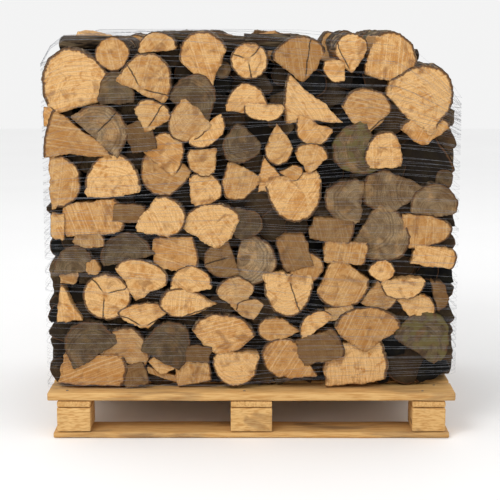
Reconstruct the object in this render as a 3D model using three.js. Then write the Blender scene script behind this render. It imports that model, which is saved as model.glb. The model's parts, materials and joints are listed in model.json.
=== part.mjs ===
// A pallet load of split firewood. A nine-block wooden pallet carries three rows of short logs, laid
// in courses with their sawn ends to the front and back, and a stretched net is wrapped round the load.
// Millimetres, +Z up. The origin is on the ground under the middle of the pallet, the long side of
// the pallet lies along X, and -Y is the front.
import * as THREE from 'three';

// Pallet
const PALLET_WIDTH = 1200;
const PALLET_DEPTH = 1000;
const BOARD_WIDTH = 120;
const BOARD_CHAMFER = 4;
const BOTTOM_THICK = 19;
const BLOCK_HEIGHT = 73;
const STRINGER_THICK = 20;
const DECK_THICK = 26;
const DECK_BOARDS = 7;
const BOTTOM_INSET = 16;
const BLOCK_INSET = 28;
const SIDE_BLOCK_WIDTH = 100;
const MIDDLE_BLOCK_WIDTH = 124;
const SEAM = 0.3;

// Firewood
const ROWS = ['front', 'middle', 'back'];
const LOG_LENGTH = 300;
const ROW_PITCH = 308;
const COURSES = 10;
const COURSE_HEIGHT = 106;
const LOGS_IN_COURSE = 8;
const LOAD_HALF_WIDTH = 603;
const END_STEP = 22;
const BED_STATIONS = 7;
const BED_WAVE = 14;
const NOTCH_DEPTH = [14, 40];
const NOTCH_HALF_WIDTH = [12, 26];
const CROWN_HEIGHT = 98;
const CROWN_SPREAD = 26;
const VALLEY_HEIGHT = 44;
// The top course stops short of the right-hand end, where the load is one course lower.
const TOP_COURSE_LEFT = -575;
const TOP_COURSE_RIGHT = 455;
const TOP_COURSE_LOGS = 7;

// Net: each turn round the load is a gathered band
const NET_TURNS = 7;
const NET_THICK = 3;
const NET_BAND_HEIGHT = 14;
const NET_CLEARANCE = 2;
const NET_FIRST_TURN = 45;
const NET_TURN_PITCH = 138;
const NET_CORNER_SEGMENTS = 2;

// Levels, from the ground up
const BLOCK_BOTTOM = BOTTOM_THICK + SEAM;
const STRINGER_BOTTOM = BLOCK_BOTTOM + BLOCK_HEIGHT + SEAM;
const DECK_BOTTOM = STRINGER_BOTTOM + STRINGER_THICK + SEAM;
const DECK_TOP = DECK_BOTTOM + DECK_THICK;
const LOAD_BOTTOM = DECK_TOP + SEAM;

const FINISHES = {
  board: { color: 0xd9b27c, roughness: 0.8 },
  block: { color: 0xcfa46a, roughness: 0.85 },
  wood: { color: 0xd8a766, roughness: 0.85 },
  net: { color: 0xb9bfc9, roughness: 0.5 },
};

const load = new THREE.Group();

function addMesh(name, geometry, finish, x, y, z) {
  const material = new THREE.MeshStandardMaterial({ ...FINISHES[finish], metalness: 0 });
  const mesh = new THREE.Mesh(geometry, material);
  mesh.name = name;
  mesh.position.set(x, y, z);
  load.add(mesh);
}

// A repeatable stream of numbers from 0 to 1, so that every build lays the same logs.
function makeDice(seed) {
  let state = seed;
  return () => {
    state = (state * 1664525 + 1013904223) % 4294967296;
    return state / 4294967296;
  };
}

function between([low, high], share) {
  return low + (high - low) * share;
}

// A board lies along X, centred on it, with its top edges chamfered by the planer.
function boardGeometry(length, width, thick) {
  const half = width / 2;
  const section = new THREE.Shape([
    new THREE.Vector2(-half, 0),
    new THREE.Vector2(half, 0),
    new THREE.Vector2(half, thick - BOARD_CHAMFER),
    new THREE.Vector2(half - BOARD_CHAMFER, thick),
    new THREE.Vector2(-half + BOARD_CHAMFER, thick),
    new THREE.Vector2(-half, thick - BOARD_CHAMFER),
  ]);
  const geometry = new THREE.ExtrudeGeometry(section, { depth: length, bevelEnabled: false });
  geometry.translate(0, 0, -length / 2);
  geometry.rotateX(Math.PI / 2);
  geometry.rotateZ(Math.PI / 2);
  return geometry;
}

function blockGeometry(width) {
  const geometry = new THREE.BoxGeometry(width, BOARD_WIDTH, BLOCK_HEIGHT);
  geometry.translate(0, 0, BLOCK_HEIGHT / 2);
  return geometry;
}

function addPallet() {
  const columns = [
    { name: 'left', x: -PALLET_WIDTH / 2 + BLOCK_INSET + SIDE_BLOCK_WIDTH / 2, width: SIDE_BLOCK_WIDTH },
    { name: 'centre', x: 0, width: MIDDLE_BLOCK_WIDTH },
    { name: 'right', x: PALLET_WIDTH / 2 - BLOCK_INSET - SIDE_BLOCK_WIDTH / 2, width: SIDE_BLOCK_WIDTH },
  ];
  const edge = (PALLET_DEPTH - BOARD_WIDTH) / 2;
  const bottomLength = PALLET_WIDTH - 2 * BOTTOM_INSET;
  ROWS.forEach((row, i) => {
    const y = (i - 1) * edge;
    addMesh(`bottom_board_${row}`, boardGeometry(bottomLength, BOARD_WIDTH, BOTTOM_THICK), 'board', 0, y, 0);
    for (const column of columns) {
      addMesh(`block_${row}_${column.name}`, blockGeometry(column.width), 'block', column.x, y, BLOCK_BOTTOM);
    }
  });
  for (const column of columns) {
    const geometry = new THREE.BoxGeometry(column.width, PALLET_DEPTH, STRINGER_THICK);
    geometry.translate(0, 0, STRINGER_THICK / 2);
    addMesh(`stringer_${column.name}`, geometry, 'board', column.x, 0, STRINGER_BOTTOM);
  }
  const deckPitch = (PALLET_DEPTH - BOARD_WIDTH) / (DECK_BOARDS - 1);
  for (let i = 0; i < DECK_BOARDS; i++) {
    const y = -edge + i * deckPitch;
    addMesh(`deck_board_${i + 1}`, boardGeometry(PALLET_WIDTH, BOARD_WIDTH, DECK_THICK), 'board', 0, y, DECK_BOTTOM);
  }
}

// The bed between two courses is a gently uneven line of stations across the load.
function makeBeds(dice) {
  const beds = [];
  for (let course = 0; course <= COURSES; course++) {
    const level = LOAD_BOTTOM + course * COURSE_HEIGHT;
    const stations = [];
    for (let i = 0; i < BED_STATIONS; i++) {
      const x = -PALLET_WIDTH / 2 - END_STEP + (i * (PALLET_WIDTH + 2 * END_STEP)) / (BED_STATIONS - 1);
      const lift = course === 0 ? 0 : (2 * dice() - 1) * BED_WAVE;
      stations.push(new THREE.Vector2(x, level + lift));
    }
    beds.push(stations);
  }
  return beds;
}

function bedHeight(stations, x) {
  const next = Math.max(1, stations.findIndex((station) => station.x >= x));
  const from = stations[next - 1];
  const to = stations[next];
  return from.y + ((to.y - from.y) * (x - from.x)) / (to.x - from.x);
}

// Where one log ends and the next begins, from left to right.
function logJoints(left, right, count, dice) {
  const joints = [];
  const pitch = (right - left) / count;
  for (let i = 1; i < count; i++) {
    joints.push(left + (i + 0.5 * (dice() - 0.5)) * pitch);
  }
  return joints;
}

// One side of a course follows its bed, and dips into a notch wherever two round-backed logs meet.
// A notch that would swallow a station of the bed is left out, so that the bed keeps its line.
// inward is -1 for the top side and 1 for the underside.
function sideOfCourse(stations, left, right, joints, inward, dice) {
  const seam = (inward * SEAM) / 2;
  const inside = stations.filter((station) => station.x > left + END_STEP && station.x < right - END_STEP);
  const points = inside.map((station) => new THREE.Vector2(station.x, station.y + seam));
  for (const joint of joints) {
    const depth = between(NOTCH_DEPTH, dice());
    const half = between(NOTCH_HALF_WIDTH, dice());
    if (stations.some((station) => Math.abs(station.x - joint) < half + SEAM)) {
      continue;
    }
    for (const step of [-1, 0, 1]) {
      const x = joint + step * half;
      const dip = step === 0 ? inward * depth : 0;
      points.push(new THREE.Vector2(x, bedHeight(stations, x) + seam + dip));
    }
  }
  for (const x of [left + END_STEP, right - END_STEP]) {
    points.push(new THREE.Vector2(x, bedHeight(stations, x) + seam));
  }
  return points.sort((a, b) => a.x - b.x);
}

// The top side of the highest course has nothing on it, so each log shows its own rounded back.
function openTop(stations, left, right, joints, dice) {
  const ends = [left + END_STEP, ...joints, right - END_STEP];
  const points = [];
  ends.forEach((x, i) => {
    const bed = bedHeight(stations, x);
    points.push(new THREE.Vector2(x, bed + VALLEY_HEIGHT));
    if (i + 1 < ends.length) {
      const span = ends[i + 1] - x;
      const crown = bed + CROWN_HEIGHT - CROWN_SPREAD * dice();
      points.push(new THREE.Vector2(x + 0.3 * span, crown));
      points.push(new THREE.Vector2(x + 0.7 * span, crown - 0.3 * CROWN_SPREAD * dice()));
    }
  });
  return points;
}

function courseGeometry(beds, course, dice) {
  const isTop = course === COURSES - 1;
  const left = isTop ? TOP_COURSE_LEFT : -LOAD_HALF_WIDTH + END_STEP * dice();
  const right = isTop ? TOP_COURSE_RIGHT : LOAD_HALF_WIDTH - END_STEP * dice();
  const joints = logJoints(left, right, isTop ? TOP_COURSE_LOGS : LOGS_IN_COURSE, dice);
  const under = sideOfCourse(beds[course], left, right, joints, 1, dice);
  const over = isTop
    ? openTop(beds[course], left, right, joints, dice)
    : sideOfCourse(beds[course + 1], left, right, joints, -1, dice);
  const middle = LOAD_BOTTOM + (course + 0.35) * COURSE_HEIGHT;
  const outline = new THREE.Shape([
    new THREE.Vector2(left, middle),
    ...under,
    new THREE.Vector2(right, middle),
    ...over.reverse(),
  ]);
  const geometry = new THREE.ExtrudeGeometry(outline, { depth: LOG_LENGTH, bevelEnabled: false });
  geometry.translate(0, 0, -LOG_LENGTH / 2);
  geometry.rotateX(Math.PI / 2);
  return geometry;
}

function addFirewood() {
  ROWS.forEach((row, i) => {
    const dice = makeDice(11 + 7 * i);
    const beds = makeBeds(dice);
    for (let course = 0; course < COURSES; course++) {
      const geometry = courseGeometry(beds, course, dice);
      addMesh(`logs_${row}_course_${course + 1}`, geometry, 'wood', 0, (i - 1) * ROW_PITCH, 0);
    }
  });
}

// A rectangle with round corners, drawn anticlockwise from the middle of its front side.
function roundedOutline(halfX, halfY, corner, target) {
  target.moveTo(0, -halfY);
  target.lineTo(halfX - corner, -halfY);
  target.absarc(halfX - corner, -halfY + corner, corner, -Math.PI / 2, 0);
  target.absarc(halfX - corner, halfY - corner, corner, 0, Math.PI / 2);
  target.absarc(-halfX + corner, halfY - corner, corner, Math.PI / 2, Math.PI);
  target.absarc(-halfX + corner, -halfY + corner, corner, Math.PI, 1.5 * Math.PI);
  target.closePath();
  return target;
}

// Each turn of the net is a closed band that clears the ends and the sides of the logs.
function netBandGeometry() {
  const innerX = LOAD_HALF_WIDTH + NET_CLEARANCE;
  const innerY = ROW_PITCH + LOG_LENGTH / 2 + NET_CLEARANCE;
  const corner = NET_CLEARANCE;
  const band = roundedOutline(innerX + NET_THICK, innerY + NET_THICK, corner + NET_THICK, new THREE.Shape());
  band.holes.push(roundedOutline(innerX, innerY, corner, new THREE.Path()));
  return new THREE.ExtrudeGeometry(band, {
    depth: NET_BAND_HEIGHT,
    bevelEnabled: false,
    curveSegments: NET_CORNER_SEGMENTS,
  });
}

function addNet() {
  for (let turn = 0; turn < NET_TURNS; turn++) {
    const z = LOAD_BOTTOM + NET_FIRST_TURN + turn * NET_TURN_PITCH;
    addMesh(`net_turn_${turn + 1}`, netBandGeometry(), 'net', 0, 0, z);
  }
}

addPallet();
addFirewood();
addNet();

export default load;
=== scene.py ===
"""A pallet load of split firewood: split logs in three rows, a block pallet and a stretched net."""

import json
import math

import bpy
import numpy as np
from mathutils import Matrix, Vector, noise

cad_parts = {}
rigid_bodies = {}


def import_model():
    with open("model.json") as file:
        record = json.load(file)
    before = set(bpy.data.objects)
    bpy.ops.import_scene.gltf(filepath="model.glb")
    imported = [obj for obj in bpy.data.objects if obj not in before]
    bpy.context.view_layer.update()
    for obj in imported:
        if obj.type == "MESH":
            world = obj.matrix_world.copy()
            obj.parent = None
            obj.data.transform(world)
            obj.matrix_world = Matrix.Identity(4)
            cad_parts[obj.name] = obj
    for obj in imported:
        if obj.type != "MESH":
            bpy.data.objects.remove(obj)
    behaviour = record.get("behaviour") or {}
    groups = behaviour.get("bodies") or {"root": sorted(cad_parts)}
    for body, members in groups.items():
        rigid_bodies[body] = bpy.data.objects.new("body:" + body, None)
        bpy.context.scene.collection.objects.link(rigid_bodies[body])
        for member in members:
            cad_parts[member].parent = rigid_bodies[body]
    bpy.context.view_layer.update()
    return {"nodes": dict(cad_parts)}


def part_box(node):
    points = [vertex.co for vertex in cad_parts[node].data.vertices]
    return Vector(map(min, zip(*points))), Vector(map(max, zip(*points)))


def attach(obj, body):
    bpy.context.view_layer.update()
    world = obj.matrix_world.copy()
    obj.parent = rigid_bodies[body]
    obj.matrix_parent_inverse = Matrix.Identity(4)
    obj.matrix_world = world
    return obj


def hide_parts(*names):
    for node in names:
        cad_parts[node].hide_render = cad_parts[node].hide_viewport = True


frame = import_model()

bl_info = {
    "name": "Firewood Pallet Load",
    "version": (1, 0, 0),
    "blender": (4, 5, 0),
    "location": "3D View > Sidebar > Firewood",
    "description": "Builds a net-wrapped pallet load of split firewood around its frame",
    "category": "Object",
}

BODY = "root"
ROWS = ("front", "middle", "back")
COURSES = 10
CM = 0.01

# The listed logs are laid this much larger than listed, so that neighbours touch
SNUG = 1.045
# Distance between the points round a log's section, on the outer rows and on hidden logs
FINE_STEP = 0.0065
COARSE_STEP = 0.013
# Depth of the broken edge at each sawn end
END_LIP = 0.0025
# Slack between the logs of one row and the next
ROW_SLACK = 0.004
# A split side counts as this far in from the edge, which keeps most of the end's dark bark line off it
SPLIT_RIM = 0.08
# A crosswise log's greatest depth, and how far behind the row's face its bark lies
CROSS_DEPTH = 0.13
CROSS_SET_BACK = 0.075
# Gaps with less room than this all round their middle stay open
SMALLEST_GAP = 0.011
# Share of logs whose end has an open drying check, besides the listed ones
CHECKED_SHARE = 0.08

# Where the frame puts the deck, the rows and the net
DECK_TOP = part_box("deck_board_1")[1].z
LOG_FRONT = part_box("logs_front_course_1")[0].y
LOG_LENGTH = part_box("logs_front_course_1")[1].y - LOG_FRONT
ROW_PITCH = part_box("logs_middle_course_1")[0].y - LOG_FRONT
NET_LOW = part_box("net_turn_1")[0]
SIDE = -NET_LOW.x - 0.005
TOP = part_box("logs_front_course_10")[1].z - 0.002

# How each kind of log is cut. A section runs from its pith side at -0.5 to its bark side at 0.5, and
# lists its corners: along, across, bulge of the side that follows, and 1 where that side has bark.
SECTIONS = {
    "round": [(0.0, -0.5, 0.5, 1), (0.0, 0.5, 0.5, 1)],
    "half": [(-0.5, 0.46, 0.02, 0), (-0.5, -0.46, 0.08, 0), (-0.3, -0.5, 0.8, 1), (-0.3, 0.5, 0.08, 0)],
    "wedge": [(-0.5, -0.03, 0.03, 0), (0.08, -0.5, 0.42, 1), (0.08, 0.5, 0.03, 0), (-0.5, 0.03, 0.0, 0)],
    "block": [(-0.5, -0.42, 0.03, 0), (0.42, -0.5, 0.08, 1), (0.44, 0.46, 0.04, 0), (-0.46, 0.5, 0.02, 0)],
    "corner": [(-0.5, -0.5, -0.04, 0), (0.5, -0.46, 0.03, 0), (-0.38, 0.5, 0.06, 1)],
    "slat": [(-0.5, -0.4, 0.02, 0), (0.5, -0.5, 0.0, 0), (0.46, 0.3, -0.03, 0), (-0.44, 0.5, 0.0, 0)],
}
# Where the pith lies in each kind of section, for the year rings
PITHS = {
    "round": (0.05, 0.04),
    "half": (-0.42, 0.02),
    "wedge": (-0.48, 0.0),
    "block": (-1.1, 0.1),
    "corner": (-0.6, -0.6),
    "slat": (-2.0, 0.3),
}

# Tones: how weathered, how warm, how light and how mossy a log is
TONES = {
    "pale": (0.02, 0.10, 0.85, 0.0),
    "fresh": (0.05, 0.40, 0.60, 0.0),
    "warm": (0.10, 0.85, 0.45, 0.0),
    "tan": (0.42, 0.50, 0.55, 0.0),
    "grey": (0.90, 0.30, 0.50, 0.05),
    "dark": (0.94, 0.55, 0.06, 0.12),
    "brown": (0.38, 1.05, 0.06, 0.03),
    "moss": (0.96, 0.30, 0.16, 0.85),
    "ash": (0.96, 0.0, 1.1, 0.0),
    # Painted shade: far darker than any wood and warm, for the small splits that fill the gaps between the
    # logs
    "painted_gap_shade": (0.75, 1.00, -0.30, 0.06),
}
# Tones of the small splits behind the gaps: the darkest tones, painted shade that darkens the gaps between
# the logs
GAP_SHADE_TONES = ("dark", "painted_gap_shade", "painted_gap_shade", "painted_gap_shade", "painted_gap_shade")

# Logs whose drying checks have opened, by the distance and height they have in the list of front logs
CHECKED = (
    (-29.4, 106.9),
    (28.3, 112.2),
    (33.2, 95.4),
    (-42.5, 41.4),
    (10.7, 41.4),
    (26.1, 45.4),
    (-19.4, 39.6),
)

# The front of the load, in centimetres: kind, distance right of the middle, height over the ground,
# size from pith to bark, size across that, where the bark faces in degrees (90 is up), and tone.
# A "cross" log lies along the row, with its bark to the front; its sizes are its length and height.
FRONT_LOGS = (
    # top of the load
    ("half", -52.2, 105.6, 16.0, 19.0, 108, "pale"),
    ("round", -39.7, 112.2, 9.2, 9.0, 90, "fresh"),
    ("half", -29.4, 106.9, 11.8, 15.4, 66, "fresh"),
    ("half", -26.7, 115.6, 5.2, 10.6, 96, "fresh"),
    ("wedge", -13.6, 112.0, 16.0, 13.6, 108, "fresh"),
    ("round", -0.6, 110.0, 10.0, 9.8, 90, "pale"),
    ("wedge", 14.3, 110.8, 12.6, 14.6, 100, "warm"),
    ("wedge", 28.3, 112.2, 11.0, 9.2, 92, "pale"),
    ("wedge", 23.9, 107.6, 6.4, 7.4, 228, "pale"),
    ("wedge", 39.2, 111.8, 14.4, 14.0, 34, "fresh"),
    ("half", 50.4, 101.3, 15.6, 18.2, 50, "pale"),
    ("half", -38.7, 102.6, 9.0, 10.0, 90, "dark"),
    ("half", -15.7, 101.3, 10.6, 13.0, 62, "dark"),
    ("half", -1.2, 99.8, 8.6, 11.8, 82, "pale"),
    ("half", 3.9, 95.4, 4.6, 10.8, -95, "pale"),
    ("corner", 17.6, 99.4, 15.6, 14.4, 0, "pale"),
    ("wedge", 33.2, 95.4, 13.0, 13.0, 85, "warm"),
    ("cross", -48.5, 114.6, 14.0, 4.4, 0, "brown"),
    ("cross", -6.4, 114.4, 9.0, 5.0, 0, "brown"),
    ("cross", 4.6, 115.2, 13.0, 4.6, 0, "brown"),
    ("cross", -19.0, 117.0, 9.0, 3.4, 0, "dark"),
    ("cross", 46.0, 111.4, 5.0, 3.4, 0, "brown"),
    # above the middle
    ("half", -41.6, 92.0, 10.4, 17.0, 46, "grey"),
    ("corner", -50.6, 89.2, 17.8, 14.0, 0, "warm"),
    ("block", -58.8, 94.0, 3.4, 5.4, 180, "fresh"),
    ("wedge", -29.0, 94.6, 8.8, 10.6, 74, "fresh"),
    ("half", -19.3, 92.2, 10.4, 11.2, 224, "tan"),
    ("half", -12.0, 88.9, 5.2, 11.8, -46, "pale"),
    ("block", -31.8, 88.4, 7.6, 8.6, 20, "brown"),
    ("half", -24.2, 84.4, 9.8, 12.2, 48, "fresh"),
    ("wedge", -13.6, 81.7, 9.4, 9.4, 224, "fresh"),
    ("half", -3.7, 85.6, 9.0, 9.8, 226, "dark"),
    ("wedge", 49.8, 90.5, 8.0, 14.0, 92, "fresh"),
    ("half", 29.8, 84.6, 11.6, 14.4, 196, "moss"),
    ("wedge", 38.8, 83.9, 10.8, 11.6, 140, "pale"),
    ("cross", 53.0, 81.6, 13.4, 13.8, 0, "grey"),
    ("wedge", 7.8, 86.2, 10.8, 8.0, -88, "fresh"),
    ("half", 17.2, 89.3, 7.2, 10.6, -112, "fresh"),
    ("wedge", 17.2, 82.2, 8.8, 9.4, 78, "fresh"),
    ("corner", 6.6, 77.4, 8.6, 9.8, 0, "fresh"),
    ("wedge", 11.6, 78.2, 6.6, 4.2, 4, "warm"),
    # middle of the load
    ("half", -53.9, 75.2, 8.6, 14.4, 2, "fresh"),
    ("half", -40.5, 77.4, 11.8, 15.6, 98, "pale"),
    ("half", -26.5, 76.8, 11.4, 14.2, 236, "warm"),
    ("wedge", -14.2, 73.2, 9.8, 10.2, 58, "pale"),
    ("half", -4.1, 74.4, 9.4, 10.0, 238, "fresh"),
    ("half", 12.5, 70.8, 12.8, 15.0, -84, "pale"),
    ("half", 26.6, 70.2, 10.8, 12.8, 176, "grey"),
    ("wedge", 40.6, 72.6, 17.6, 12.4, 184, "grey"),
    ("half", 53.6, 70.4, 8.2, 12.6, 88, "grey"),
    ("block", -56.6, 62.6, 3.8, 7.8, 182, "fresh"),
    ("block", -46.0, 64.8, 16.0, 9.4, 9, "fresh"),
    ("block", -36.0, 66.2, 5.6, 8.6, 84, "brown"),
    ("wedge", -26.9, 64.6, 15.6, 12.0, 22, "pale"),
    ("wedge", -11.3, 62.6, 13.6, 16.8, 102, "pale"),
    ("half", -0.6, 63.4, 8.0, 9.0, 4, "dark"),
    ("cross", 7.4, 61.6, 11.0, 7.6, 0, "dark"),
    ("block", 12.6, 54.6, 8.4, 10.6, 200, "brown"),
    ("block", 23.4, 61.2, 12.2, 6.4, -6, "brown"),
    ("half", 39.0, 58.8, 13.6, 15.4, -32, "grey"),
    ("half", 51.6, 61.2, 14.4, 9.8, 2, "warm"),
    ("block", 54.0, 53.2, 12.8, 5.6, -9, "fresh"),
    # below the middle
    ("block", -47.2, 58.0, 8.4, 4.2, 4, "tan"),
    ("half", -51.8, 53.0, 7.8, 11.8, 96, "dark"),
    ("half", -36.9, 56.2, 8.2, 15.0, 106, "dark"),
    ("block", -22.0, 54.0, 11.6, 8.8, 6, "warm"),
    ("half", -9.5, 52.2, 8.8, 11.4, 200, "brown"),
    ("half", 1.7, 51.6, 10.4, 13.8, -12, "ash"),
    ("wedge", -46.2, 50.2, 4.4, 4.8, 150, "warm"),
    ("wedge", -31.9, 46.6, 11.8, 15.6, 74, "fresh"),
    ("round", -42.5, 41.4, 13.6, 13.8, 90, "pale"),
    ("corner", -53.4, 39.6, 7.0, 11.6, 0, "pale"),
    ("block", -53.4, 47.4, 5.2, 4.0, 0, "tan"),
    ("half", -18.0, 46.6, 7.0, 11.4, 92, "pale"),
    ("wedge", -19.4, 39.6, 16.2, 9.2, 174, "pale"),
    ("wedge", -31.8, 35.9, 7.4, 15.0, 92, "pale"),
    ("wedge", -4.2, 42.2, 10.0, 10.6, 100, "tan"),
    ("wedge", -0.4, 37.6, 6.0, 8.0, 98, "tan"),
    ("round", 16.0, 50.2, 9.0, 10.2, 90, "warm"),
    ("block", 27.6, 54.6, 12.0, 6.4, -4, "fresh"),
    ("round", 38.2, 49.2, 6.0, 7.6, 90, "pale"),
    ("half", 10.7, 41.4, 12.6, 14.4, -90, "pale"),
    ("wedge", 26.1, 45.4, 14.2, 15.0, -70, "fresh"),
    ("cross", 49.8, 48.4, 17.0, 5.8, 0, "grey"),
    ("half", 44.4, 43.8, 5.4, 12.0, -86, "pale"),
    ("block", 37.6, 40.6, 8.0, 8.2, -34, "tan"),
    ("wedge", 48.4, 38.6, 12.0, 8.4, -22, "fresh"),
    ("half", 55.6, 42.0, 4.0, 9.0, 10, "brown"),
    # bottom of the load
    ("half", -49.0, 28.9, 11.0, 15.4, 122, "dark"),
    ("half", -37.6, 27.0, 11.6, 14.8, 92, "tan"),
    ("half", -23.6, 27.6, 12.0, 13.2, 58, "dark"),
    ("block", -15.4, 24.4, 4.6, 7.0, 84, "brown"),
    ("wedge", -7.8, 29.6, 12.6, 17.8, 86, "fresh"),
    ("half", 18.2, 33.9, 4.6, 9.8, 130, "pale"),
    ("block", 26.0, 36.6, 8.4, 3.8, 8, "tan"),
    ("wedge", 34.0, 31.8, 14.0, 18.8, 92, "warm"),
    ("half", 51.6, 30.4, 12.2, 15.4, 60, "moss"),
    ("wedge", 7.6, 31.6, 12.0, 7.0, 178, "fresh"),
    ("block", 20.0, 25.8, 12.6, 8.6, 20, "brown"),
    ("block", -47.2, 18.6, 18.8, 9.2, -3, "warm"),
    ("block", -34.4, 17.6, 7.0, 6.6, 12, "brown"),
    ("wedge", -26.0, 20.6, 6.0, 8.6, 80, "fresh"),
    ("block", -17.3, 18.2, 10.2, 8.0, 12, "fresh"),
    ("slat", -25.2, 15.8, 12.0, 2.0, -20, "warm"),
    ("half", -4.5, 19.0, 9.8, 13.0, -90, "pale"),
    ("wedge", 10.9, 22.4, 17.0, 12.4, 150, "warm"),
    ("cross", 13.4, 16.4, 17.0, 4.4, 0, "brown"),
    ("block", 30.7, 20.3, 17.6, 12.2, 12, "pale"),
    ("cross", 50.2, 20.4, 19.0, 12.4, 0, "grey"),
)


def make_mesh(name, points, faces, material_of=None):
    """A smooth-shaded mesh object linked to the scene, from points in metres."""
    mesh = bpy.data.meshes.new(name)
    mesh.from_pydata([tuple(p) for p in points], [], faces)
    if material_of is not None:
        mesh.polygons.foreach_set("material_index", np.array(material_of, dtype=np.int32))
    mesh.polygons.foreach_set("use_smooth", np.full(len(mesh.polygons), True))
    mesh.update()
    piece = bpy.data.objects.new(name, mesh)
    bpy.context.scene.collection.objects.link(piece)
    return piece


def store_vectors(mesh, name, values):
    """Keeps one vector a point on the mesh, for the materials to read."""
    layer = mesh.attributes.new(name, "FLOAT_VECTOR", "POINT")
    layer.data.foreach_set("vector", np.asarray(values, dtype=np.float32).ravel())


# ---------------------------------------------------------------- materials


class Recipe:
    """A material's node tree, built a node at a time."""

    def __init__(self, name):
        self.material = bpy.data.materials.new(name)
        self.material.use_nodes = True
        self.tree = self.material.node_tree
        self.tree.nodes.clear()
        self.shader = self.tree.nodes.new("ShaderNodeBsdfPrincipled")
        output = self.tree.nodes.new("ShaderNodeOutputMaterial")
        self.tree.links.new(self.shader.outputs["BSDF"], output.inputs["Surface"])

    def plug(self, socket, value):
        """Links or sets one socket"""
        if isinstance(value, bpy.types.NodeSocket):
            self.tree.links.new(value, socket)
        elif value is not None:
            socket.default_value = value

    def maths(self, operation, first, second=None, third=None):
        """One step of arithmetic on numbers"""
        node = self.tree.nodes.new("ShaderNodeMath")
        node.operation = operation
        for socket, value in zip(node.inputs, (first, second, third)):
            self.plug(socket, value)
        return node.outputs[0]

    def attribute(self, name):
        """A vector kept on the mesh"""
        node = self.tree.nodes.new("ShaderNodeAttribute")
        node.attribute_name = name
        return node.outputs["Vector"]

    def parts(self, vector):
        """The three numbers of a vector"""
        node = self.tree.nodes.new("ShaderNodeSeparateXYZ")
        self.plug(node.inputs[0], vector)
        return node.outputs

    def stretched(self, vector, scale):
        """Places scaled apart along each axis"""
        node = self.tree.nodes.new("ShaderNodeMapping")
        self.plug(node.inputs["Vector"], vector)
        node.inputs["Scale"].default_value = scale
        return node.outputs[0]

    def places(self):
        """Places on the piece, in metres"""
        return self.tree.nodes.new("ShaderNodeTexCoord").outputs["Object"]

    def cloud(self, vector, scale, detail=4.0, distortion=0.0):
        """Soft random patches in space"""
        node = self.tree.nodes.new("ShaderNodeTexNoise")
        self.plug(node.inputs["Vector"], vector)
        node.inputs["Scale"].default_value = scale
        node.inputs["Detail"].default_value = detail
        node.inputs["Distortion"].default_value = distortion
        return node.outputs["Fac"]

    def bands(self, number, scale, detail):
        """Soft random bands along a number"""
        node = self.tree.nodes.new("ShaderNodeTexNoise")
        node.noise_dimensions = "1D"
        self.plug(node.inputs["W"], number)
        node.inputs["Scale"].default_value = scale
        node.inputs["Detail"].default_value = detail
        return node.outputs["Fac"]

    def ease(self, value, low, high, to_low=0.0, to_high=1.0):
        """A smooth step from low to high"""
        node = self.tree.nodes.new("ShaderNodeMapRange")
        node.interpolation_type = "SMOOTHSTEP"
        for socket, item in zip(node.inputs, (value, low, high, to_low, to_high)):
            self.plug(socket, item)
        return node.outputs[0]

    def blend(self, share, first, second, mode="MIX"):
        """Mixes two colours"""
        node = self.tree.nodes.new("ShaderNodeMix")
        node.data_type = "RGBA"
        node.blend_type = mode
        self.plug(node.inputs[0], share)
        for socket, value in ((node.inputs[6], first), (node.inputs[7], second)):
            if not isinstance(value, bpy.types.NodeSocket):
                value = (*value[:3], 1.0)
            self.plug(socket, value)
        return node.outputs[2]

    def relief(self, height, strength, distance):
        """Fine relief on the surface"""
        node = self.tree.nodes.new("ShaderNodeBump")
        node.inputs["Strength"].default_value = strength
        node.inputs["Distance"].default_value = distance
        self.plug(node.inputs["Height"], height)
        self.plug(self.shader.inputs["Normal"], node.outputs[0])

    def lit(self, colour, light, gain, base):
        """The colour, darker on logs of a darker tone; on the small splits in the gaps this darkening is
        painted shade.
        """
        share = self.maths("MULTIPLY_ADD", light, gain, base)
        return self.blend(1.0, colour, self.blend(share, (0, 0, 0), (1, 1, 1)), "MULTIPLY")

    def finish(self, colour, roughness, specular=0.25):
        """Fills the shader and gives the material"""
        self.plug(self.shader.inputs["Base Color"], colour)
        self.plug(self.shader.inputs["Roughness"], roughness)
        self.shader.inputs["Specular IOR Level"].default_value = specular
        return self.material


def moss_over(recipe, colour, moss, colours):
    """Dry moss in patches, where a log has any."""
    patches = recipe.ease(recipe.cloud(recipe.places(), 38.0, 5.0), 0.46, 0.62)
    return recipe.blend(recipe.maths("MULTIPLY", patches, moss), colour, colours.moss)


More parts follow.
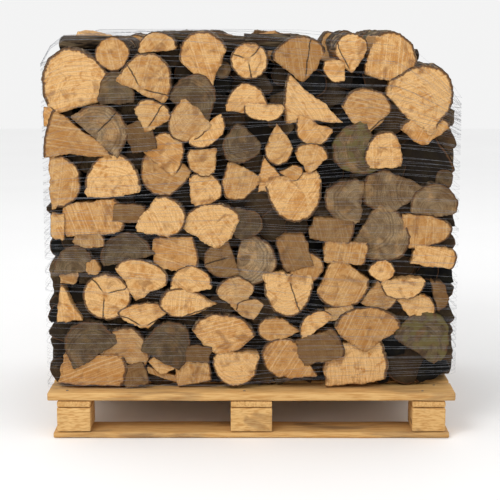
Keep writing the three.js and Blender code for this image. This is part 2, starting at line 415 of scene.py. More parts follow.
def sawn_end_material(colours):
    """End grain: year rings, rays, saw marks, drying checks and a dark line at the edge."""
    r = Recipe("sawn_end")
    grain = r.attribute("grain")
    across, up, log_number = r.parts(grain)
    weather, warmth, light = r.parts(r.attribute("tone"))
    inward, moss, checked = r.parts(r.attribute("wear"))
    wobble = r.maths("MULTIPLY", r.maths("SUBTRACT", r.cloud(grain, 22.0, 3.0), 0.5), 0.022)
    squares = r.maths("ADD", r.maths("MULTIPLY", across, across), r.maths("MULTIPLY", up, up))
    radius = r.maths("SQRT", squares)
    year = r.bands(r.maths("ADD", radius, wobble), 210.0, 1.5)
    angle = r.maths("ARCTAN2", up, across)
    ray = r.bands(r.maths("ADD", angle, log_number), 26.0, 2.0)
    heading = r.maths("MULTIPLY", log_number, 1.9)
    saw_run = r.maths(
        "ADD",
        r.maths("MULTIPLY", across, r.maths("COSINE", heading)),
        r.maths("MULTIPLY", up, r.maths("SINE", heading)),
    )
    saw = r.bands(r.maths("ADD", saw_run, r.maths("MULTIPLY", wobble, 0.3)), 160.0, 3.0)
    blotch = r.cloud(grain, 26.0, 5.0, 0.6)
    fine = r.cloud(grain, 420.0, 3.0)

    patch = r.cloud(grain, 34.0, 6.0, 1.2)
    warm_share = r.ease(patch, r.maths("MULTIPLY_ADD", warmth, -0.40, 0.53), 0.72)
    colour = r.blend(warm_share, colours.fresh, colours.warm)
    colour = r.blend(r.ease(year, 0.38, 0.72, 0.0, 0.42), colour, colours.warm)
    colour = r.blend(r.ease(saw, 0.45, 0.72, 0.0, 0.45), colour, colours.cut)
    colour = r.blend(r.ease(ray, 0.50, 0.80, 0.0, 0.20), colour, colours.heart)
    colour = r.blend(r.ease(fine, 0.48, 0.72, 0.0, 0.40), colour, colours.heart)
    stain = r.ease(r.cloud(grain, 20.0, 6.0, 1.0), 0.54, 0.72, 0.0, 0.75)
    colour = r.blend(stain, colour, colours.heart)
    colour = r.blend(r.ease(radius, 0.012, 0.0, 0.0, 0.6), colour, colours.heart)

    old = r.blend(r.ease(blotch, 0.35, 0.68), colours.weathered, colours.silver)
    old = r.blend(r.ease(year, 0.40, 0.70, 0.0, 0.45), old, colours.dark)
    old = r.blend(r.ease(fine, 0.45, 0.65, 0.0, 0.45), old, colours.dark)
    age = r.maths("MULTIPLY", weather, r.ease(r.cloud(grain, 24.0, 4.0), 0.30, 0.52, 0.60, 1.0))
    colour = r.blend(age, colour, old)
    colour = r.lit(colour, light, 0.95, 0.42)

    cell = r.tree.nodes.new("ShaderNodeTexVoronoi")
    cell.voronoi_dimensions = "1D"
    cell.feature = "DISTANCE_TO_EDGE"
    cell.inputs["Scale"].default_value = 1.0
    wandering = r.maths("MULTIPLY_ADD", wobble, 7.0, log_number)
    r.plug(cell.inputs["W"], r.maths("MULTIPLY_ADD", angle, 0.45, wandering))
    gap = r.maths("MULTIPLY", cell.outputs["Distance"], radius)
    check = r.maths("MULTIPLY", r.ease(gap, 0.0003, 0.0014, 1.0, 0.0), r.ease(radius, 0.004, 0.02))
    split = r.maths("MULTIPLY", check, checked)
    # Open drying checks are painted near-black: painted shade in the cracks
    colour = r.blend(r.maths("MULTIPLY", split, 0.85), colour, colours.dark)

    ragged = r.maths("MULTIPLY_ADD", r.maths("SUBTRACT", r.cloud(grain, 160.0, 3.0), 0.5), 0.10, inward)
    edge = r.ease(ragged, 0.035, 0.095, 0.95, 0.0)
    colour = r.blend(edge, colour, colours.rim)
    colour = moss_over(r, colour, moss, colours)
    height = r.maths("ADD", r.maths("MULTIPLY", saw, 0.7), r.maths("MULTIPLY", fine, 0.5))
    height = r.maths("ADD", height, r.maths("MULTIPLY", year, 0.4))
    height = r.maths("SUBTRACT", height, r.maths("MULTIPLY", split, 2.5))
    r.relief(height, 0.55, 0.0016)
    return r.finish(colour, r.ease(blotch, 0.2, 0.8, 0.72, 0.9))


def split_face_material(colours):
    """The torn long grain of a split side: fibres, darker streaks and grey where it has weathered."""
    r = Recipe("split_face")
    grain = r.attribute("grain")
    weather, warmth, light = r.parts(r.attribute("tone"))
    _, moss, _ = r.parts(r.attribute("wear"))
    fibre = r.cloud(r.stretched(grain, (320.0, 320.0, 9.0)), 1.0, 4.0)
    streak = r.cloud(r.stretched(grain, (60.0, 60.0, 4.0)), 1.0, 5.0, 0.4)
    warm_share = r.maths("MULTIPLY_ADD", warmth, 0.5, r.maths("MULTIPLY", streak, 0.6))
    colour = r.blend(warm_share, colours.fresh, colours.warm)
    colour = r.blend(r.ease(fibre, 0.45, 0.75, 0.0, 0.5), colour, colours.heart)
    colour = r.blend(r.ease(streak, 0.55, 0.75, 0.0, 0.45), colour, colours.rim)
    old = r.blend(r.ease(fibre, 0.35, 0.7), colours.weathered, colours.silver)
    colour = r.blend(r.maths("MULTIPLY", weather, r.ease(streak, 0.2, 0.6, 0.95, 0.75)), colour, old)
    colour = r.lit(colour, light, 0.6, 0.4)
    colour = moss_over(r, colour, moss, colours)
    r.relief(r.maths("ADD", fibre, streak), 0.8, 0.003)
    return r.finish(colour, r.ease(fibre, 0.3, 0.7, 0.78, 0.95))


def bark_material(colours):
    """Ridged bark with furrows along the log, lichen freckles and moss."""
    r = Recipe("bark")
    grain = r.attribute("grain")
    _, warmth, light = r.parts(r.attribute("tone"))
    _, moss, _ = r.parts(r.attribute("wear"))
    ridge = r.cloud(r.stretched(grain, (130.0, 130.0, 26.0)), 1.0, 6.0, 0.5)
    furrow = r.cloud(r.stretched(grain, (45.0, 45.0, 9.0)), 1.0, 4.0, 0.8)
    # The low places of the ridges are painted near-black: painted shade in the bark's furrows
    colour = r.blend(r.ease(ridge, 0.35, 0.65), colours.dark, colours.bark)
    colour = r.blend(r.ease(furrow, 0.50, 0.68, 0.0, 0.85), colour, colours.silver)
    reddish = r.maths("MULTIPLY", r.ease(furrow, 0.30, 0.48, 1.0, 0.0), r.maths("MULTIPLY", warmth, 0.8))
    colour = r.blend(reddish, colour, colours.rim)
    freckle = r.ease(r.cloud(r.places(), 150.0, 2.0), 0.66, 0.74, 0.0, 0.5)
    colour = r.blend(freckle, colour, colours.silver)
    colour = r.lit(colour, light, 0.8, 0.45)
    colour = moss_over(r, colour, moss, colours)
    r.relief(r.maths("ADD", ridge, r.maths("MULTIPLY", furrow, 1.5)), 1.0, 0.006)
    return r.finish(colour, r.ease(ridge, 0.3, 0.7, 0.82, 0.97), 0.15)


def sawn_board_material(name, colours, stretch, dirt=0.45):
    """Rough-sawn pine: grain lines, knots, saw fuzz, damp stains and handling marks."""
    r = Recipe(name)
    place = r.places()
    lines = r.cloud(r.stretched(place, tuple(210.0 / s for s in stretch)), 1.0, 4.0, 0.35)
    broad = r.cloud(r.stretched(place, tuple(26.0 / s for s in stretch)), 1.0, 4.0, 0.5)
    fuzz = r.cloud(place, 700.0, 2.0)
    shade, _, _ = r.parts(r.attribute("tone"))
    colour = r.blend(r.ease(lines, 0.38, 0.68), colours.pine, colours.pine_grain)
    colour = r.blend(r.ease(broad, 0.52, 0.74, 0.0, 0.6), colour, colours.pine_grain)
    knots = r.tree.nodes.new("ShaderNodeTexVoronoi")
    knots.inputs["Scale"].default_value = 1.0
    r.plug(knots.inputs["Vector"], r.stretched(place, tuple(13.0 / max(1.0, 0.4 * s) for s in stretch)))
    ring = r.ease(knots.outputs["Distance"], 0.05, 0.13, 1.0, 0.0)
    colour = r.blend(r.maths("MULTIPLY", ring, 0.75), colour, colours.rim)
    colour = r.blend(shade, colour, colours.pine_grain)
    smear = r.cloud(r.stretched(place, tuple(17.0 / max(1.0, 0.3 * s) for s in stretch)), 1.0, 7.0, 0.6)
    grime = r.ease(smear, 0.58 - 0.12 * dirt, 0.70, 0.0, dirt)
    colour = r.blend(grime, colour, colours.grime)
    r.relief(r.maths("ADD", lines, r.maths("MULTIPLY", fuzz, 0.5)), 0.5, 0.0018)
    return r.finish(colour, r.ease(broad, 0.3, 0.7, 0.7, 0.88))


def net_material(colours):
    """Grey-blue plastic thread, milky in places."""
    r = Recipe("net_thread")
    milky = r.cloud(r.places(), 60.0, 3.0)
    colour = r.blend(r.ease(milky, 0.35, 0.65), colours.net, colours.net_bright)
    r.shader.inputs["IOR"].default_value = 1.49
    return r.finish(colour, r.ease(milky, 0.3, 0.7, 0.28, 0.45), 0.5)


def nail_material():
    """Wire nail heads, dulled by weather."""
    r = Recipe("nail_head")
    spots = r.cloud(r.places(), 900.0, 3.0)
    colour = r.blend(r.ease(spots, 0.4, 0.6), (0.10, 0.09, 0.085), (0.24, 0.22, 0.20))
    r.shader.inputs["Metallic"].default_value = 0.8
    return r.finish(colour, r.ease(spots, 0.3, 0.7, 0.4, 0.65))


def studio_material():
    """The pale floor and backdrop, with a barely seen mottle."""
    r = Recipe("studio_floor")
    mottle = r.cloud(r.places(), 1.4, 2.0)
    return r.finish(r.blend(mottle, (0.93, 0.93, 0.93), (0.96, 0.96, 0.96)), 0.9, 0.1)


# ---------------------------------------------------------------- one log


def section_outline(kind, along, across, gap, dice):
    """Points round one log's section, about a gap apart, and whether bark covers each, in metres."""
    corners = SECTIONS[kind]
    jitter = 0.01 if kind == "round" else 0.04
    spots = [np.array((u, v)) + dice.uniform(-jitter, jitter, 2) for u, v, _, _ in corners]
    size = np.array((along, across))
    lengths = []
    for i, (_, _, bulge, _) in enumerate(corners):
        chord = np.linalg.norm((spots[(i + 1) % len(corners)] - spots[i]) * size)
        lengths.append(chord * (1.0 + 1.2 * abs(bulge)))
    points, bark = [], []
    for i, (_, _, bulge, is_bark) in enumerate(corners):
        start, end = spots[i], spots[(i + 1) % len(corners)]
        steps = max(2, round(lengths[i] / gap))
        outward = np.array(((end - start)[1], -(end - start)[0]))
        if not is_bark:
            bulge = bulge + dice.uniform(-0.035, 0.045)
        bite = dice.uniform(0.0, 2.0 * math.pi)
        for step in range(steps):
            share = step / steps
            if is_bark:
                share = 0.5 - 0.5 * math.cos(math.pi * share)
                push = 2.0 * bulge * math.sqrt(share * (1.0 - share))
            else:
                push = 4.0 * bulge * share * (1.0 - share)
                push += 0.022 * math.sin(9.0 * share + bite) * math.sin(math.pi * share)
            points.append((start + (end - start) * share + outward * push) * size)
            bark.append(is_bark)
    return np.array(points), np.array(bark)


class LogPile:
    """Collects many logs' points and faces, to become one mesh."""

    def __init__(self):
        self.points, self.faces, self.slots = [], [], []
        self.grain, self.tone, self.wear = [], [], []
        self.count = 0

    def add(self, points, faces, slots, grain, tone, wear):
        """Adds one closed log, its faces turned outward"""
        corners = np.array([[points[f[0]], points[f[1]], points[f[2]]] for f in faces])
        volume = np.einsum("ij,ij->i", corners[:, 0], np.cross(corners[:, 1], corners[:, 2])).sum()
        if volume < 0:
            faces = [f[::-1] for f in faces]
        self.faces += [tuple(i + self.count for i in f) for f in faces]
        self.slots += slots
        self.points.append(points)
        self.grain.append(grain)
        self.tone.append(np.tile(tone, (len(points), 1)))
        self.wear.append(wear)
        self.count += len(points)

    def piece(self, name, materials):
        """Makes the mesh of all the logs added"""
        made = make_mesh(name, np.concatenate(self.points), self.faces, self.slots)
        for material in materials:
            made.data.materials.append(material)
        store_vectors(made.data, "grain", np.concatenate(self.grain))
        store_vectors(made.data, "tone", np.concatenate(self.tone))
        store_vectors(made.data, "wear", np.concatenate(self.wear))
        return made


END, SPLIT, BARK = 0, 1, 2


def add_log(pile, kind, along, across, turn, tone, low_y, length, centre, dice, fine, checks=0.0):
    """One log: its section carried from end to end, with swellings, a twist, ridges and torn sides.

    Returns its outline at the low end, seen from the front."""
    is_cross = kind == "cross"
    if is_cross:
        kind, length, across, along, turn = "half", along, across, min(CROSS_DEPTH, 1.1 * across + 0.02), 0
    outline, bark = section_outline(kind, along, across, FINE_STEP if fine else COARSE_STEP, dice)
    stations = 5 if fine else 3
    middle = outline.mean(axis=0)
    size = max(along, across)
    seed = dice.uniform(0.0, 100.0)
    lean = dice.uniform(-0.05, 0.05, 4)
    twist = dice.uniform(-0.10, 0.10)
    n = len(outline)
    first_station = 0.02
    inner_runs = np.linspace(first_station, length - first_station, stations)
    runs = [0.0, END_LIP, *inner_runs, length - END_LIP, length]
    rings = []
    for run in runs:
        share = run / length
        at_rim = run in (0.0, length)
        swell = 1.0 + 0.05 * noise.noise(Vector((seed, 4.0 * share, 0.0))) - (0.022 if at_rim else 0.0)
        spin = twist * (share - 0.5)
        ring = (outline - middle) * swell
        for i in range(n):
            reach = ring[i] / (np.linalg.norm(ring[i]) + 1e-6)
            u, v = outline[i]
            if bark[i]:
                bump = 0.0036 * noise.noise(Vector((u * 110.0, v * 110.0, seed + run * 30.0)))
                bump += 0.0050 * noise.noise(Vector((u * 30.0, v * 30.0, seed + run * 12.0)))
            else:
                bump = 0.0042 * noise.noise(Vector((u * 30.0, v * 30.0, seed + run * 5.0)))
                bump += 0.0044 * noise.noise(Vector((u * 125.0, v * 125.0, seed + run * 8.0)))
            ring[i] = ring[i] + reach * bump
        turned = np.stack((
            ring[:, 0] * math.cos(spin) - ring[:, 1] * math.sin(spin),
            ring[:, 0] * math.sin(spin) + ring[:, 1] * math.cos(spin),
        ), axis=1)
        rings.append(turned + middle)
    points, grain, wear, faces, slots = [], [], [], [], []
    pith = np.array(PITHS[kind]) * (along, across)
    moss = TONES[tone][3]
    rim = np.where(bark, 0.0, SPLIT_RIM)

    def put(section, run, inward):
        """Adds one ring of points and gives its first index"""
        first = len(points)
        for (u, v), depth in zip(section, inward):
            points.append((u, v, run))
            grain.append((u - pith[0], v - pith[1], run + seed))
            wear.append((depth, moss, checks))
        return first

    starts = [put(ring, run, rim) for ring, run in zip(rings, runs)]
    for j in range(len(runs) - 1):
        for i in range(n):
            k = (i + 1) % n
            faces.append((starts[j] + i, starts[j] + k, starts[j + 1] + k, starts[j + 1] + i))
            edge_of_end = j in (0, len(runs) - 2)
            slots.append(BARK if bark[i] else (END if edge_of_end else SPLIT))
    # The two sawn ends, as rings that close on a middle point
    shrink = (0.93, 0.66, 0.36) if fine else (0.7,)
    for side, ring, outer in ((0, rings[0], starts[0]), (1, rings[-1], starts[-1])):
        run = runs[-1] if side else 0.0
        previous = outer
        for factor in shrink:
            inner = (ring - middle) * factor + middle
            start = put(inner, run, np.maximum(rim, 1.0 - factor))
            for i in range(n):
                k = (i + 1) % n
                quad = (previous + i, previous + k, start + k, start + i)
                faces.append(quad if side else quad[::-1])
                slots.append(END)
            previous = start
        tip = put([middle], run, [1.0])
        for i in range(n):
            k = (i + 1) % n
            triangle = (previous + i, previous + k, tip)
            faces.append(triangle if side else triangle[::-1])
            slots.append(END)
    points = np.array(points)
    # A chainsaw leaves each end a little out of square and wavy
    end_depth = 0.012
    for low, sign, a, b in ((True, 1.0, lean[0], lean[1]), (False, -1.0, lean[2], lean[3])):
        near = points[:, 2] < end_depth if low else points[:, 2] > length - end_depth
        for i in np.nonzero(near)[0]:
            u, v, run = points[i]
            wave = 0.0022 * noise.noise(Vector((u * 28.0, v * 28.0, seed)))
            slant = a * (u - middle[0]) + b * (v - middle[1]) * 0.6
            points[i, 2] = run + sign * (abs(a * size) * 0.5 + slant + wave)
    turn = math.radians(turn)
    u, v, run = points[:, 0], points[:, 1], points[:, 2]
    x, y, z = centre
    if is_cross:
        world = np.stack((x - length / 2 + run, y + along / 2 - u, z + v), axis=1)
    else:
        level = u * math.sin(turn) + v * math.cos(turn)
        world = np.stack((x + u * math.cos(turn) - v * math.sin(turn), low_y + run, z + level), axis=1)
    # Keep the log inside the net and off the deck
    world[:, 0] += max(0.0, -SIDE - world[:, 0].min()) - max(0.0, world[:, 0].max() - SIDE)
    world[:, 2] += max(0.0, DECK_TOP + 0.001 - world[:, 2].min()) - max(0.0, world[:, 2].max() - TOP)
    light = TONES[tone][2] + dice.uniform(-0.20, 0.10)
    warmth = TONES[tone][1] + dice.uniform(-0.20, 0.30)
    pile.add(world, faces, slots, np.array(grain), (TONES[tone][0], warmth, light), np.array(wear))
    return world[starts[0]:starts[0] + n, ::2]


def course_of(height_cm):
    """The course, from 0, that a log at this height belongs to."""
    step = (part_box("logs_front_course_9")[1].z - DECK_TOP) / (COURSES - 1) / CM
    return min(COURSES - 1, max(0, int((height_cm - DECK_TOP / CM) / step)))


def inside(polygon, xs, zs):
    """Which of the places lie inside a closed outline."""
    within = np.zeros(xs.shape, dtype=bool)
    for (x0, z0), (x1, z1) in zip(polygon, np.roll(polygon, -1, axis=0)):
        if z0 != z1:
            crossed = (z0 > zs) != (z1 > zs)
            within ^= crossed & (xs < x0 + (x1 - x0) * (zs - z0) / (z1 - z0))
    return within


def open_gaps(outlines):
    """Finds the gaps between the logs of a row, widest first: (x, z, radius) in metres."""
    step = 0.008
    xs, zs = np.meshgrid(np.arange(-SIDE, SIDE, step), np.arange(DECK_TOP, TOP, step))
    taken = np.zeros(xs.shape, dtype=bool)
    for outline in outlines:
        taken |= inside(outline, xs, zs)
    under = np.flip(np.maximum.accumulate(np.flip(taken, 0), 0), 0)
    free = np.argwhere(~taken & under)
    held = np.argwhere(taken | ~under)
    reach = np.array([np.min(np.sum((held - cell) ** 2, axis=1)) for cell in free]) ** 0.5 * step
    places = np.stack((xs[tuple(free.T)], zs[tuple(free.T)]), axis=1)
    reach = np.minimum(reach, np.minimum(places[:, 1] - DECK_TOP + step, SIDE + step - abs(places[:, 0])))
    gaps = []
    while reach.max() > SMALLEST_GAP:
        best = int(reach.argmax())
        radius = reach[best]
        gaps.append((*places[best], radius))
        reach = np.minimum(reach, np.linalg.norm(places - places[best], axis=1) - radius)
    return gaps


def lay_row(row, materials):
    """Lays every log of one row, a mesh for each course, and tucks small splits, darkened with painted
    shade, in the gaps.
    """
    index = ROWS.index(row)
    dice = np.random.default_rng(20 + index)
    piles = [LogPile() for _ in range(COURSES)]
    low_y = LOG_FRONT + index * ROW_PITCH
    tones = [tone for tone in TONES if tone != "painted_gap_shade"]
    fine = row != "middle"
    outlines = []
    for kind, x, z, along, across, turn, tone in FRONT_LOGS:
        along, across = along * SNUG, across * SNUG
        checks = 1.0 if (x, z) in CHECKED or dice.uniform() < CHECKED_SHARE else 0.0
        if row != "front":
            turn += dice.uniform(-24, 24)
            x += dice.uniform(-2.6, 2.6)
            z += dice.uniform(-0.9, 0.6)
            across *= dice.uniform(0.88, 1.16)
            tone = tones[dice.integers(0, len(tones))] if dice.uniform() < 0.6 else tone
            if kind == "cross":
                kind, along = "block", along * 0.9
            elif dice.uniform() < 0.3 and abs(along - across) < 4.0:
                kind = ("half", "wedge", "round", "corner")[dice.integers(0, 4)]
        offset = dice.uniform(0.0, 0.016)
        length = LOG_LENGTH - ROW_SLACK - offset - dice.uniform(0.0, 0.012)
        face_y = low_y + (offset if row != "back" else 0.0)
        outline = add_log(
            piles[course_of(z)], kind, along * CM, across * CM, turn, tone, face_y, length,
            (x * CM, face_y + CROSS_SET_BACK, z * CM), dice, fine, checks,
        )
        if kind != "cross":
            outlines.append(outline)
    for x, z, radius in open_gaps(outlines):
        set_back = dice.uniform(0.035, 0.085)
        size = 2.0 * radius + 0.022
        # The hidden splits take the darkest tones: painted shade in the gaps
        tone = GAP_SHADE_TONES[dice.integers(0, len(GAP_SHADE_TONES))]
        kind = ("round", "half", "wedge", "block")[dice.integers(0, 4)]
        add_log(
            piles[course_of(z / CM)], kind, size, size * dice.uniform(0.9, 1.2), dice.uniform(0, 360), tone,
            low_y + set_back, LOG_LENGTH - 2.0 * set_back, (x, 0.0, z), dice, False,
        )
    for number, pile in enumerate(piles, 1):
        piece = pile.piece(f"firewood_{row}_{number}", materials)
        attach(piece, BODY)
        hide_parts(f"logs_{row}_course_{number}")


# ---------------------------------------------------------------- pallet


def worn_board(name, node, material, dice, counts):
    """A sawn board or block that fills its node's box, with soft worn edges and slightly wavy faces.

    The counts are its mesh steps along x, y and z."""
    low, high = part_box(node)
    size = high - low
    centre = (low + high) / 2
    index, points, faces = {}, [], []
    worn_edge = 0.0035
    saw_dip = 0.0010

    def vertex(i, j, k):
        """The point at one step of the grid, made once"""
        key = (i, j, k)
        if key not in index:
            place = [2.0 * s / c - 1.0 for s, c in zip(key, counts)]
            index[key] = len(points)
            points.append([centre[a] + place[a] * size[a] / 2 for a in range(3)])
        return index[key]

    for axis in range(3):
        first, second = [a for a in range(3) if a != axis]
        for level in (0, counts[axis]):
            for s in range(counts[first]):
                for t in range(counts[second]):
                    quad = []
                    for ds, dt in ((0, 0), (1, 0), (1, 1), (0, 1)):
                        key = [0, 0, 0]
                        key[axis], key[first], key[second] = level, s + ds, t + dt
                        quad.append(vertex(*key))
                    outward = (level > 0) != (axis == 1)
                    faces.append(tuple(quad) if outward else tuple(quad[::-1]))
    seed = dice.uniform(0.0, 100.0)
    for p in points:
        gaps = [size[a] / 2 - abs(p[a] - centre[a]) for a in range(3)]
        dip = saw_dip * (1.0 + noise.noise(Vector((p[0] * 9.0 + seed, p[1] * 9.0, p[2] * 9.0))))
        for a in range(3):
            if gaps[a] < 1e-6:
                p[a] -= math.copysign(dip, p[a] - centre[a])
    piece = make_mesh(name, points, faces)
    piece.data.materials.append(material)
    store_vectors(piece.data, "tone", np.tile((dice.uniform(0.0, 0.30), 0.0, 0.0), (len(points), 1)))
    bevel = piece.modifiers.new("worn edges", "BEVEL")
    bevel.width = worn_edge
    bevel.segments = 2
    bevel.limit_method = "ANGLE"
    bevel.angle_limit = math.radians(40)
    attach(piece, BODY)
    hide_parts(node)


def add_nail_heads(name, spots, radius, material):
    """Round nail heads, each a low dome on the deck."""
    points, faces = [], []
    sides = 10
    profile = ((1.0, -0.002), (1.0, 0.0004), (0.7, 0.001))
    for x, y, z in spots:
        first = len(points)
        for ring, (share, lift) in enumerate(profile):
            for i in range(sides):
                a = 2.0 * math.pi * i / sides
                wide = radius * share
                points.append((x + wide * math.cos(a), y + wide * math.sin(a), z + lift))
            if ring:
                base = first + (ring - 1) * sides
                for i in range(sides):
                    k = (i + 1) % sides
                    faces.append((base + i, base + k, base + sides + k, base + sides + i))
        faces.append(tuple(first + 2 * sides + i for i in range(sides)))
        faces.append(tuple(first + i for i in reversed(range(sides))))
    piece = make_mesh(name, points, faces)
    piece.data.materials.append(material)
    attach(piece, BODY)


# ---------------------------------------------------------------- net


def taut_top(row):
    """The net's top edge over one row: straight between the row's highest logs. A list of (x, z)."""
    spots = []
    for number in range(1, COURSES + 1):
        mesh = bpy.data.objects[f"firewood_{row}_{number}"].data
        flat = np.empty(3 * len(mesh.vertices), dtype=np.float32)
        mesh.vertices.foreach_get("co", flat)
        spots.append(flat.reshape(-1, 3)[:, ::2])
    spots = np.concatenate(spots)
    shoulder = 0.025
    ends = [(side * SIDE, spots[side * spots[:, 0] > SIDE - shoulder, 1].max() - 0.02) for side in (-1, 1)]
    spots = np.concatenate((spots[abs(spots[:, 0]) < SIDE - shoulder / 2], ends))
    spots = spots[np.argsort(spots[:, 0])]
    hull = []
    for x, z in spots:
        while len(hull) > 1 and (hull[-1][0] - hull[-2][0]) * (z - hull[-2][1]) >= (
            hull[-1][1] - hull[-2][1]
        ) * (x - hull[-2][0]):
            hull.pop()
        hull.append((float(x), float(z)))
    return hull


def net_threads(settings):
    """Fine threads round the load, in turns that slope one way and then the other."""
    inset = 0.0015
    half_x = -NET_LOW.x - inset
    half_y = -NET_LOW.y - inset
    corner = 0.035
    straight_step = 0.04
    route = []
    for side in range(4):
        angle = side * math.pi / 2
        for step in range(5):
            a = angle - math.pi / 2 + step * math.pi / 8
            cx = (half_x - corner) * (1 if side in (0, 1) else -1)
            cy = (half_y - corner) * (1 if side in (1, 2) else -1)
            route.append((cx + corner * math.cos(a), cy + corner * math.sin(a)))
    dense = []
    for i, (x, y) in enumerate(route):
        nx, ny = route[(i + 1) % len(route)]
        steps = max(1, round(math.hypot(nx - x, ny - y) / straight_step))
        dense += [(x + (nx - x) * s / steps, y + (ny - y) * s / steps) for s in range(steps)]
    front, back = (np.array(taut_top(row)) for row in ("front", "back"))
    sky = []
    for x, y in dense:
        share = (y + half_y) / (2.0 * half_y)
        low = np.interp(x, front[:, 0], front[:, 1])
        high = np.interp(x, back[:, 0], back[:, 1])
        sky.append(low + (high - low) * share + 0.002)
    dice = np.random.default_rng(5)
    radius = settings.thread / 2
    top = max(sky)
    points, faces = [], []
    total = len(dense)
    for height in np.arange(DECK_TOP + 0.010, top + 0.01, settings.pitch):
        tilt = 0.050 * math.sin(height * 8.5 + 0.9) + dice.uniform(-0.016, 0.016)
        phase = dice.uniform(-0.3, 0.3)
        sag = dice.uniform(0.001, 0.005)
        ripple = dice.uniform(0.0, 6.0)
        drop = dice.uniform(0.0, 0.010)
        squeeze = min(1.0, (height - DECK_TOP) / (top - DECK_TOP)) ** 4
        first = len(points)
        for i, (x, y) in enumerate(dense):
            around = math.atan2(x, -y)
            z = height + tilt * math.sin(around + phase) + sag * math.sin(7.0 * around + ripple)
            z -= (top - sky[i]) * squeeze
            z = max(DECK_TOP + 0.003 + drop, min(z, sky[i] - drop))
            reach = math.hypot(x, y)
            for a in range(3):
                angle = 2.0 * math.pi * a / 3
                off = radius * math.cos(angle) / reach
                points.append((x + x * off, y + y * off, z + radius * math.sin(angle)))
        for i in range(total):
            j = (i + 1) % total
            for a in range(3):
                b = (a + 1) % 3
                faces.append((first + 3 * i + a, first + 3 * j + a, first + 3 * j + b, first + 3 * i + b))
    return points, faces


# ---------------------------------------------------------------- settings, operators and panel


def colour_property(name, description, default):
    """A colour that a user may change."""
    return bpy.props.FloatVectorProperty(
        name=name, description=description, default=default, subtype="COLOR", size=3, min=0.0, max=1.0
    )


def length_property(name, description, default):
    """A length in metres that a user may change."""
    return bpy.props.FloatProperty(
        name=name, description=description, default=default, unit="LENGTH", min=0.0001
    )


class FirewoodColours(bpy.types.PropertyGroup):
    """Colours of the wood, the pallet and the net"""

    fresh: colour_property("Fresh wood", "Newly sawn pale wood", (0.72, 0.435, 0.175))
    warm: colour_property("Warm wood", "Deeper orange of the same wood", (0.48, 0.205, 0.042))
    heart: colour_property("Heartwood", "Brown wood near the pith", (0.25, 0.105, 0.030))
    cut: colour_property("Saw marks", "Light fuzz raised by the saw", (0.82, 0.57, 0.30))
    rim: colour_property("Rim", "Inner bark and dark edges", (0.095, 0.042, 0.016))
    weathered: colour_property("Weathered", "Wood that stood in the rain", (0.150, 0.085, 0.038))
    silver: colour_property("Silvered", "Wood that stood in the sun", (0.34, 0.24, 0.135))
    # Near-black: painted shade in the depths of checks and bark furrows, and the real dark rings and flecks
    # of weathered ends
    dark: colour_property("Cracks", "Depths of checks and furrows", (0.016, 0.010, 0.007))
    bark: colour_property("Bark", "Ridges of the bark", (0.125, 0.078, 0.043))
    moss: colour_property("Moss", "Dry moss and algae", (0.12, 0.095, 0.030))
    pine: colour_property("Pine", "Pallet boards", (0.70, 0.44, 0.175))
    pine_grain: colour_property("Pine grain", "Late wood in the boards", (0.50, 0.26, 0.080))
    grime: colour_property("Grime", "Dirt on the boards", (0.20, 0.115, 0.055))
    net: colour_property("Net", "Net thread", (0.13, 0.14, 0.165))
    net_bright: colour_property("Net highlights", "Milky stretches of thread", (0.30, 0.32, 0.36))


class FirewoodSizes(bpy.types.PropertyGroup):
    """Sizes of the small parts"""

    thread: length_property("Thread", "Thickness of a net thread", 0.0005)
    pitch: length_property("Thread pitch", "Height between threads", 0.009)
    nail: length_property("Nail head", "Radius of a nail head", 0.0042)


class FIREWOOD_OT_row(bpy.types.Operator):
    """Lays one row of split logs, course by course"""

    bl_idname = "firewood.row"
    bl_label = "Lay a Row of Logs"
    row: bpy.props.EnumProperty(
        name="Row", description="Which row to lay", items=[(r, r.title(), "") for r in ROWS]
    )

    def execute(self, context):
        colours = context.scene.firewood_colours
        names = ("sawn_end", "split_face", "bark")
        makers = (sawn_end_material, split_face_material, bark_material)
        materials = [bpy.data.materials.get(n) or maker(colours) for n, maker in zip(names, makers)]
        lay_row(self.row, materials)
        return {"FINISHED"}


class FIREWOOD_OT_pallet(bpy.types.Operator):
    """Builds the pallet: bottom boards, blocks, stringers, deck boards and nails"""

    bl_idname = "firewood.pallet"
    bl_label = "Build the Pallet"

    def execute(self, context):
        colours = context.scene.firewood_colours
        dice = np.random.default_rng(3)
        along_x = sawn_board_material("pine_board", colours, (14.0, 1.0, 1.0))
        ground = sawn_board_material("pine_bottom", colours, (14.0, 1.0, 1.0), 0.8)
        along_y = sawn_board_material("pine_stringer", colours, (1.0, 14.0, 1.0))
        blocks = sawn_board_material("pine_block", colours, (5.0, 8.0, 1.0))
        for node in sorted(frame["nodes"]):
            if node.startswith("deck_board"):
                worn_board(f"pine_{node}", node, along_x, dice, (48, 5, 2))
            elif node.startswith("bottom_board"):
                worn_board(f"pine_{node}", node, ground, dice, (48, 5, 2))
            elif node.startswith("stringer"):
                worn_board(f"pine_{node}", node, along_y, dice, (5, 40, 2))
            elif node.startswith("block"):
                worn_board(f"pine_{node}", node, blocks, dice, (6, 6, 5))
        spots = []
        for node in (n for n in sorted(frame["nodes"]) if n.startswith("deck_board")):
            low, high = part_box(node)
            for side in ("left", "centre", "right"):
                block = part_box(f"stringer_{side}")
                for share in (0.3, 0.7):
                    x = block[0].x + share * (block[1].x - block[0].x) + dice.uniform(-0.006, 0.006)
                    y = low.y + (0.22 if share < 0.5 else 0.78) * (high.y - low.y)
                    spots.append((x, y + dice.uniform(-0.004, 0.004), high.z - 0.001))
        add_nail_heads("nail_heads", spots, context.scene.firewood_sizes.nail, nail_material())
        return {"FINISHED"}


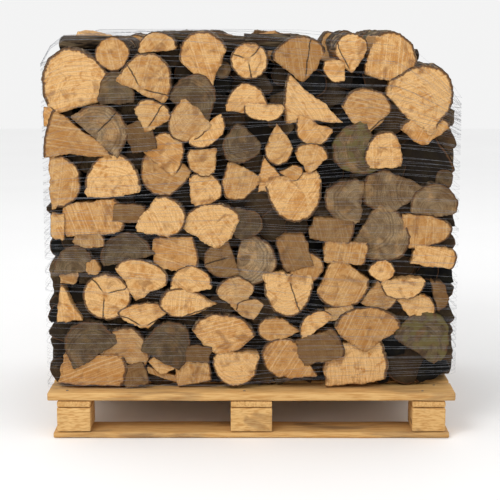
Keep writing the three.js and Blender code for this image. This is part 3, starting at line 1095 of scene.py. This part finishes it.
class FIREWOOD_OT_net(bpy.types.Operator):
    """Winds the fine net round the load"""

    bl_idname = "firewood.net"
    bl_label = "Wind the Net"

    def execute(self, context):
        points, faces = net_threads(context.scene.firewood_sizes)
        net = make_mesh("net_threads", points, faces)
        net.data.materials.append(net_material(context.scene.firewood_colours))
        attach(net, BODY)
        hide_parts(*(n for n in sorted(frame["nodes"]) if n.startswith("net_turn")))
        return {"FINISHED"}


class FIREWOOD_OT_stage(bpy.types.Operator):
    """Sets the pale floor, the soft lights and the camera"""

    bl_idname = "firewood.stage"
    bl_label = "Set the Stage"

    def execute(self, context):
        scene = context.scene
        reach = 12.0
        corners = [(-reach, -reach, 0), (reach, -reach, 0), (reach, reach, 0), (-reach, reach, 0)]
        floor = make_mesh("studio_floor", corners, [(0, 1, 2, 3)])
        floor.data.materials.append(studio_material())
        world = bpy.data.worlds.new("studio")
        world.use_nodes = True
        background = world.node_tree.nodes["Background"]
        background.inputs["Color"].default_value = (1.0, 1.0, 1.0, 1.0)
        background.inputs["Strength"].default_value = 0.9
        scene.world = world
        scene.view_settings.view_transform = "Standard"
        middle = Vector((0.0, 0.0, 0.6))
        for name, place, size, power in (
            ("key", (-1.9, -3.6, 4.2), 2.0, 105.0),
            ("fill", (2.6, -3.8, 3.4), 2.8, 12.0),
            ("back", (0.5, 3.6, 4.2), 3.0, 18.0),
        ):
            light = bpy.data.lights.new(name, "AREA")
            light.energy, light.size = power, size
            lamp = bpy.data.objects.new(name, light)
            lamp.location = place
            lamp.rotation_euler = (middle - Vector(place)).to_track_quat("-Z", "Y").to_euler()
            scene.collection.objects.link(lamp)
        camera = bpy.data.objects.new("camera", bpy.data.cameras.new("camera"))
        place, aim = Vector((0.0, -4.46, 1.20)), Vector((-0.004, -0.46, 0.556))
        camera.location = place
        camera.rotation_euler = (aim - place).to_track_quat("-Z", "Y").to_euler()
        camera.data.sensor_width = 36.0
        width_seen = 1.455
        camera.data.lens = camera.data.sensor_width * (aim - place).length / width_seen
        scene.collection.objects.link(camera)
        scene.camera = camera
        return {"FINISHED"}


class FIREWOOD_PT_panel(bpy.types.Panel):
    """Lists the build steps and their settings"""

    bl_label = "Firewood Load"
    bl_idname = "FIREWOOD_PT_panel"
    bl_space_type = "VIEW_3D"
    bl_region_type = "UI"
    bl_category = "Firewood"

    def draw(self, context):
        column = self.layout.column()
        column.operator(FIREWOOD_OT_stage.bl_idname)
        column.operator(FIREWOOD_OT_pallet.bl_idname)
        for row in ROWS:
            column.operator(FIREWOOD_OT_row.bl_idname, text=f"Lay the {row.title()} Row").row = row
        column.operator(FIREWOOD_OT_net.bl_idname)
        for group in (context.scene.firewood_sizes, context.scene.firewood_colours):
            for key in group.__annotations__:
                column.prop(group, key)


CLASSES = (
    FirewoodColours,
    FirewoodSizes,
    FIREWOOD_OT_row,
    FIREWOOD_OT_pallet,
    FIREWOOD_OT_net,
    FIREWOOD_OT_stage,
    FIREWOOD_PT_panel,
)


def register():
    for cls in CLASSES:
        bpy.utils.register_class(cls)
    bpy.types.Scene.firewood_colours = bpy.props.PointerProperty(type=FirewoodColours)
    bpy.types.Scene.firewood_sizes = bpy.props.PointerProperty(type=FirewoodSizes)


def unregister():
    del bpy.types.Scene.firewood_sizes
    del bpy.types.Scene.firewood_colours
    for cls in reversed(CLASSES):
        bpy.utils.unregister_class(cls)


def main():
    register()
    bpy.ops.firewood.stage()
    bpy.ops.firewood.pallet()
    for row in ROWS:
        bpy.ops.firewood.row(row=row)
    bpy.ops.firewood.net()


if __name__ == "__main__":
    main()
